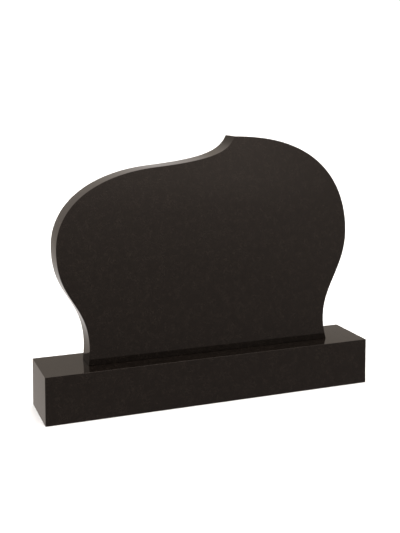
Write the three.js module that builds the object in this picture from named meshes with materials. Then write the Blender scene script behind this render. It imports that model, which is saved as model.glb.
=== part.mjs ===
// Granite headstone: an upright slab with a free, swooping outline that stands on a plain plinth.
// Millimetres, +Z up. The front faces -Y, and the origin is the middle of the plinth's underside.

import * as THREE from 'three';

// Plinth: a sawn and polished block, with a small flat arris along every edge
const plinthWidth = 1100;
const plinthDepth = 200;
const plinthHeight = 150;
const plinthArris = 1.5;

// Stele: the upright slab, centred on the plinth, with a small flat arris round both faces
const steleWidth = 1000;
const steleHeight = 700;
const steleThickness = 80;
const steleArris = 1.5;

// Bed joint between the two stones
const bedJoint = 0.3;

// Straight steps along each curve of the slab's outline
const stepsPerCurve = 32;

// The slab's outline as cubic curves, anticlockwise as seen from the front. Each point is [across, up]:
// across is a share of the slab's width from its middle, up a share of its height above its foot.
const leftFoot = [-0.4015, 0];
const steleCurves = [
  { to: [-0.5, 0.524], from: [-0.378, 0.284], into: [-0.5, 0.269] },        // hollow left flank and bulge
  { to: [-0.178, 0.8715], from: [-0.5, 0.702], into: [-0.391, 0.8455] },    // round left shoulder
  { to: [0.088, 1], from: [0.027, 0.8965], into: [0.0665, 0.936] },         // swoop up to the peak
  { to: [0.5, 0.526], from: [0.425, 0.9945], into: [0.5, 0.7155] },         // long right shoulder and bulge
  { to: [0.428, 0], from: [0.5, 0.312], into: [0.379, 0.2375] },            // hollow right flank and foot
];

// Both stones are the same black granite, polished on every face that shows
function polishedGranite(name) {
  const material = new THREE.MeshStandardMaterial({ color: '#231f1d', roughness: 0.06, metalness: 0 });
  material.name = name;
  return material;
}

// Outline of the slab's front face, foot on the x axis
function steleOutline() {
  const place = ([across, up]) => [across * steleWidth, up * steleHeight];
  const shape = new THREE.Shape();
  shape.moveTo(...place(leftFoot));
  for (const { to, from, into } of steleCurves) {
    shape.bezierCurveTo(...place(from), ...place(into), ...place(to));
  }
  shape.closePath();
  return shape;
}

// Outline of the plinth's front face, with an arris at each of its four corners
function plinthOutline() {
  const side = plinthWidth / 2;
  const top = plinthHeight;
  const cut = plinthArris;
  const corners = [
    [-side, cut], [-side + cut, 0], [side - cut, 0], [side, cut],
    [side, top - cut], [side - cut, top], [-side + cut, top], [-side, top - cut],
  ];
  return new THREE.Shape(corners.map(([x, z]) => new THREE.Vector2(x, z)));
}

// A stone cut to an outline drawn on its front face, with its thickness centred on the row's XZ plane
function cutStone(outline, thickness, arris) {
  const geometry = new THREE.ExtrudeGeometry(outline, {
    depth: thickness - 2 * arris,
    curveSegments: stepsPerCurve,
    bevelEnabled: true,
    bevelThickness: arris,
    bevelSize: arris,
    bevelOffset: -arris,
    bevelSegments: 1,
  });
  geometry.translate(0, 0, arris - thickness / 2);
  geometry.rotateX(Math.PI / 2);
  return geometry;
}

const plinth = new THREE.Mesh(cutStone(plinthOutline(), plinthDepth, plinthArris), polishedGranite('plinth'));
plinth.name = 'plinth';

const stele = new THREE.Mesh(cutStone(steleOutline(), steleThickness, steleArris), polishedGranite('stele'));
stele.name = 'stele';
stele.position.z = plinthHeight + bedJoint;

const headstone = new THREE.Group();
headstone.name = 'headstone';
headstone.add(plinth, stele);

export default headstone;
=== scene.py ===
# Headstone of polished black granite: an upright slab with a free, swooping outline on a plain plinth.
import math
import bpy
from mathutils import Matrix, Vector


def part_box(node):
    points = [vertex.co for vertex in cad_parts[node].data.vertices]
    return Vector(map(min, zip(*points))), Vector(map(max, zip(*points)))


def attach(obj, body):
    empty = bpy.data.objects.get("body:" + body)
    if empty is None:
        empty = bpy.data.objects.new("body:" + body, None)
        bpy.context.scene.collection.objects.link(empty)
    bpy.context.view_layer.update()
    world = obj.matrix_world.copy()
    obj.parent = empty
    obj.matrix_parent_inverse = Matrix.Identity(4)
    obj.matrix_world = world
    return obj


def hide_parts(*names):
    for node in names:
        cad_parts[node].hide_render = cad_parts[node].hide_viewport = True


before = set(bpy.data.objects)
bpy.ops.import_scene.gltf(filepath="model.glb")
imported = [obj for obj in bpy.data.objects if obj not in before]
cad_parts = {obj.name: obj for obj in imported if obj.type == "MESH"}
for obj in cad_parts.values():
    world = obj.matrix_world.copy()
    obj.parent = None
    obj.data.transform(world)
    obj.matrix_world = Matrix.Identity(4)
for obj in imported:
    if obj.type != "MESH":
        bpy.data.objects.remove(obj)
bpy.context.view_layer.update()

scene = bpy.context.scene
scene.view_settings.view_transform = "Standard"        # so that a white floor comes out white
millimetre = 0.001
sharpAngle = 30        # degrees between two faces, from which their edge gets an arris


def linear(hexColour):        # sRGB hex to the linear values that shaders use
    channels = [int(hexColour[i:i + 2], 16) / 255 for i in (1, 3, 5)]
    return tuple(c / 12.92 if c <= 0.04045 else ((c + 0.055) / 1.055) ** 2.4 for c in channels) + (1.0,)


def addNode(tree, kind, settings={}, links={}):        # a node, what is set on it, and what feeds it
    node = tree.nodes.new(kind)
    for name, value in settings.items():
        if isinstance(name, int) or name in node.inputs:
            node.inputs[name].default_value = value
        else:
            setattr(node, name, value)
    for name, source in links.items():
        tree.links.new(source, node.inputs[name])
    return node


def selectOnly(piece):
    bpy.ops.object.select_all(action="DESELECT")
    piece.select_set(True)
    bpy.context.view_layer.objects.active = piece


def applyModifier(piece, kind, **settings):
    modifier = piece.modifiers.new(kind.lower(), kind)
    for name, value in settings.items():
        setattr(modifier, name, value)
    selectOnly(piece)
    bpy.ops.object.modifier_apply(modifier=modifier.name)


# Camera: left of the middle and a little above the top, its picture shifted down so that uprights stay
# nearly upright
cameraSetup = {
    "place": (-1.0528, -2.6852, 1.0354),        # metres
    "turn": 21.073,        # degrees to the right of +Y
    "tilt": 4.234,        # degrees below level
    "sensor": 36,        # mm, along the picture's longer side
    "lens": 60.32,        # mm
    "shift": -0.228,        # share of the picture's longer side
}


def makeCamera(setup):
    bpy.ops.object.select_all(action="DESELECT")
    turn = (math.radians(90 - setup["tilt"]), 0, -math.radians(setup["turn"]))
    bpy.ops.object.camera_add(location=setup["place"], rotation=turn)
    camera = bpy.context.object
    camera.name = "camera"
    camera.data.sensor_width = setup["sensor"]
    camera.data.lens = setup["lens"]
    camera.data.shift_y = setup["shift"]
    scene.camera = camera


makeCamera(cameraSetup)
print("camera made")


# Studio: a pale matt floor in a soft warm surround, which the stone mirrors instead of the floor
studioSetup = {
    "floorWidth": 80,        # metres
    "floor": "#c9cbcd",        # matt paint, lit so strongly from above that it comes out white
    "floorRoughness": 0.9,
    "floorGloss": 0.1,
    "backdrop": (1.05, 1.05, 1.05),        # plain white wherever it is seen past the floor
    "surround": [        # height above the horizon in degrees, and the light that comes from there
        (-17, (0.87, 0.82, 0.79)),        # pale ground, mirrored low on the upright faces
        (-12, (1.13, 1.07, 1.02)),
        (-8.5, (1.48, 1.40, 1.34)),
        (-6.5, (2.02, 1.92, 1.82)),
        (-3, (2.55, 2.42, 2.31)),        # bright horizon, mirrored at their tops
        (2, (2.00, 1.90, 1.81)),
        (5.2, (1.08, 1.04, 1.00)),
        (9, (0.74, 0.68, 0.64)),
        (17, (0.55, 0.483, 0.415)),        # dimmer ring, mirrored in the plinth's top
        (26, (0.83, 0.74, 0.66)),
        (50, (1.60, 1.53, 1.46)),
        (75, (8.20, 7.87, 7.54)),        # wide soft light overhead
    ],
    "patches": [        # turn from +Y and height in degrees, full and faded radius, light
        (-59, -1, 43, 63, (0.55, 0.48, 0.42)),        # dim corner behind left, seen in the left flank
        (138, -3, 1, 19, (1.25, 1.19, 1.13)),        # horizon fading towards the right
        (158, 18, 5, 15, (1.82, 1.73, 1.64)),        # window in front, seen by way of slab and plinth top
    ],
    "lights": [        # name, place and what it is aimed at in metres, width, watts, colour
        ("keyLight", (1.2, -1.4, 3.8), (0, 0, 0.3), 2.6, 80, "#fff6ee"),
    ],
}


def makeFloor(setup):
    bpy.ops.object.select_all(action="DESELECT")
    bpy.ops.mesh.primitive_plane_add(size=setup["floorWidth"], location=(0, 0, 0))
    floor = bpy.context.object
    floor.name = "floor"
    floor.visible_glossy = False        # the stone mirrors the surround below the horizon
    paint = bpy.data.materials.new("mattPalePaint")
    paint.use_nodes = True
    shader = paint.node_tree.nodes["Principled BSDF"]
    shader.inputs["Base Color"].default_value = linear(setup["floor"])
    shader.inputs["Roughness"].default_value = setup["floorRoughness"]
    shader.inputs["Specular IOR Level"].default_value = setup["floorGloss"]
    floor.data.materials.append(paint)


def direction(turn, height):
    turn, height = math.radians(turn), math.radians(height)
    return (math.sin(turn) * math.cos(height), math.cos(turn) * math.cos(height), math.sin(height))


def makeSurround(setup):
    world = bpy.data.worlds.new("studio")
    scene.world = world
    world.use_nodes = True
    tree = world.node_tree
    way = addNode(tree, "ShaderNodeTexCoord").outputs["Generated"]
    height = addNode(tree, "ShaderNodeSeparateXYZ", {}, {0: way}).outputs["Z"]
    share = addNode(tree, "ShaderNodeMapRange", {"From Min": -1.0}, {"Value": height}).outputs[0]
    ramp = addNode(tree, "ShaderNodeValToRGB", {}, {"Fac": share})
    stops = ramp.color_ramp.elements
    for number, (degrees, light) in enumerate(setup["surround"]):
        position = (1 + math.sin(math.radians(degrees))) / 2
        stop = stops[number] if number < 2 else stops.new(position)        # a ramp begins with two
        stop.position = position
        stop.color = light + (1,)
    whole = ramp.outputs["Color"]
    for turn, degrees, full, faded, light in setup["patches"]:
        nearness = addNode(tree, "ShaderNodeVectorMath", {
            "operation": "DOT_PRODUCT", 1: direction(turn, degrees),
        }, {0: way})
        fade = addNode(tree, "ShaderNodeMapRange", {
            "interpolation_type": "SMOOTHSTEP",
            "From Min": math.cos(math.radians(faded)),
            "From Max": math.cos(math.radians(full)),
        }, {"Value": nearness.outputs["Value"]})
        whole = addNode(tree, "ShaderNodeMix", {
            "data_type": "RGBA", 7: light + (1,),
        }, {0: fade.outputs[0], 6: whole}).outputs[2]
    seen = addNode(tree, "ShaderNodeLightPath").outputs["Is Camera Ray"]
    whole = addNode(tree, "ShaderNodeMix", {
        "data_type": "RGBA", 7: setup["backdrop"] + (1,),
    }, {0: seen, 6: whole}).outputs[2]
    tree.links.new(whole, tree.nodes["Background"].inputs["Color"])


def makeLights(setup):
    for name, place, target, width, watts, colour in setup["lights"]:
        bpy.ops.object.select_all(action="DESELECT")
        bpy.ops.object.light_add(type="AREA", location=place)
        light = bpy.context.object
        light.name = name
        light.rotation_euler = (Vector(place) - Vector(target)).to_track_quat("Z", "Y").to_euler()
        light.data.shape = "DISK"
        light.data.size = width
        light.data.energy = watts
        light.data.color = linear(colour)[:3]
        light.visible_camera = False


makeFloor(studioSetup)
makeSurround(studioSetup)
makeLights(studioSetup)
print("studio made")


# Polished gabbro, sold as black granite: ground flat and polished to a mirror, with no relief, so it mirrors
# the room faintly face on and strongly along its flanks, over a brown-black body of interlocked crystals
graniteSetup = {
    "ior": 1.27,        # about 1.6 in the stone itself, lowered because it mirrors so faintly face on
    "roughness": (0.03, 0.06),        # some crystals take a finer polish than others
    "crystal": 2.2,        # mm across, drawn coarser than the real ones of about 1 mm so that they show
    "cloud": 22,        # mm across, patches with more and fewer pale crystals
    "cloudDetail": 3.0,
    "cloudRoughness": 0.6,
    "paleFrom": 0.22,        # where a crystal begins to be pale
    "paleTo": 0.60,        # and where it is wholly so
    "dark": "#060403",
    "pale": "#16120f",
    "mirrorTint": "#fff0e7",        # warm cast of what it mirrors face on
}


def makeGranite(setup):
    granite = bpy.data.materials.new("polishedGabbro")
    granite.use_nodes = True
    tree = granite.node_tree
    shader = tree.nodes["Principled BSDF"]
    shader.inputs["IOR"].default_value = setup["ior"]
    shader.inputs["Specular Tint"].default_value = linear(setup["mirrorTint"])
    place = addNode(tree, "ShaderNodeTexCoord")
    crystals = addNode(tree, "ShaderNodeTexVoronoi", {
        "Scale": 1 / (setup["crystal"] * millimetre), "Randomness": 1.0,
    }, {"Vector": place.outputs["Object"]})
    each = addNode(tree, "ShaderNodeSeparateColor", {}, {0: crystals.outputs["Color"]})
    clouds = addNode(tree, "ShaderNodeTexNoise", {
        "Scale": 1 / (setup["cloud"] * millimetre),
        "Detail": setup["cloudDetail"], "Roughness": setup["cloudRoughness"],
    }, {"Vector": place.outputs["Object"]})
    share = addNode(tree, "ShaderNodeMath", {"operation": "MULTIPLY"},
                    {0: each.outputs[0], 1: clouds.outputs["Fac"]})
    paleness = addNode(tree, "ShaderNodeMapRange", {
        "From Min": setup["paleFrom"], "From Max": setup["paleTo"],
    }, {"Value": share.outputs[0]})
    body = addNode(tree, "ShaderNodeMix", {
        "data_type": "RGBA", 6: linear(setup["dark"]), 7: linear(setup["pale"]),
    }, {0: paleness.outputs[0]})
    tree.links.new(body.outputs[2], shader.inputs["Base Color"])
    polish = addNode(tree, "ShaderNodeMapRange", {
        "To Min": setup["roughness"][0], "To Max": setup["roughness"][1],
    }, {"Value": each.outputs[1]})
    tree.links.new(polish.outputs[0], shader.inputs["Roughness"])
    return granite


granite = makeGranite(graniteSetup)
print("granite made")


def finishPiece(piece, name, arris, steps, node):        # arrises, true normals, stone, and its place
    piece.name = name
    piece.data.name = name
    piece.data.materials.clear()
    piece.data.materials.append(granite)
    selectOnly(piece)
    bpy.ops.object.shade_smooth()
    applyModifier(piece, "BEVEL", width=arris * millimetre, segments=steps, limit_method="ANGLE",
                  angle_limit=math.radians(sharpAngle))
    applyModifier(piece, "WEIGHTED_NORMAL", keep_sharp=True)
    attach(piece, "root")
    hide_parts(node)


# Plinth: a sawn and polished block, 1100 x 200 x 150 mm
plinthSetup = {
    "arris": 0.7,        # mm, rounded along every edge
    "arrisSteps": 3,
}


def makePlinth(setup):
    low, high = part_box("plinth")
    bpy.ops.object.select_all(action="DESELECT")
    bpy.ops.mesh.primitive_cube_add(size=1, location=(low + high) / 2, scale=high - low)
    block = bpy.context.object
    bpy.ops.object.transform_apply(location=True, rotation=True, scale=True)
    finishPiece(block, "polished_plinth", setup["arris"], setup["arrisSteps"], "plinth")


makePlinth(plinthSetup)
print("plinth made")


# Stele: the upright slab, 1000 x 700 x 80 mm, outlined by five curves from the left foot to the right
steleSetup = {
    "arris": 0.7,        # mm, rounded round both faces
    "arrisSteps": 3,
    "curveSteps": 48,        # straight steps along each curve
    "leftFoot": (-0.4015, 0),        # shares of the slab's width from its middle and of its height
    "curves": [        # where each curve ends, and the handles that it leaves and arrives by
        {"to": (-0.5, 0.524), "from": (-0.378, 0.284), "into": (-0.5, 0.269)},        # hollow, bulge
        {"to": (-0.178, 0.8715), "from": (-0.5, 0.702), "into": (-0.391, 0.8455)},        # left shoulder
        {"to": (0.088, 1), "from": (0.027, 0.8965), "into": (0.0665, 0.936)},        # swoop to the peak
        {"to": (0.5, 0.526), "from": (0.425, 0.9945), "into": (0.5, 0.7155)},        # right shoulder
        {"to": (0.428, 0), "from": (0.5, 0.312), "into": (0.379, 0.2375)},        # hollow, foot
    ],
}


def makeStele(setup):
    low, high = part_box("stele")
    size = high - low

    def spot(shares):
        return ((low.x + high.x) / 2 + shares[0] * size.x, low.y, low.z + shares[1] * size.z)

    bpy.ops.object.select_all(action="DESELECT")
    bpy.ops.curve.primitive_bezier_curve_add(location=(0, 0, 0))
    outline = bpy.context.object
    outline.data.dimensions = "3D"
    outline.data.resolution_u = setup["curveSteps"]
    spline = outline.data.splines[0]
    spline.bezier_points.add(len(setup["curves"]) - 1)
    for point in spline.bezier_points:
        point.handle_left_type = point.handle_right_type = "FREE"
    first = spline.bezier_points[0]
    first.co = first.handle_left = spot(setup["leftFoot"])
    for before, after, curve in zip(spline.bezier_points[:-1], spline.bezier_points[1:], setup["curves"]):
        before.handle_right = spot(curve["from"])
        after.handle_left = spot(curve["into"])
        after.co = after.handle_right = spot(curve["to"])
    bpy.ops.object.convert(target="MESH")
    slab = bpy.context.object
    bpy.ops.object.mode_set(mode="EDIT")
    bpy.ops.mesh.select_all(action="SELECT")
    bpy.ops.mesh.edge_face_add()
    bpy.ops.mesh.extrude_region_move(TRANSFORM_OT_translate={"value": (0, size.y, 0)})
    bpy.ops.mesh.select_all(action="SELECT")
    bpy.ops.mesh.normals_make_consistent(inside=False)
    bpy.ops.object.mode_set(mode="OBJECT")
    finishPiece(slab, "polished_stele", setup["arris"], setup["arrisSteps"], "stele")


makeStele(steleSetup)
print("stele made")
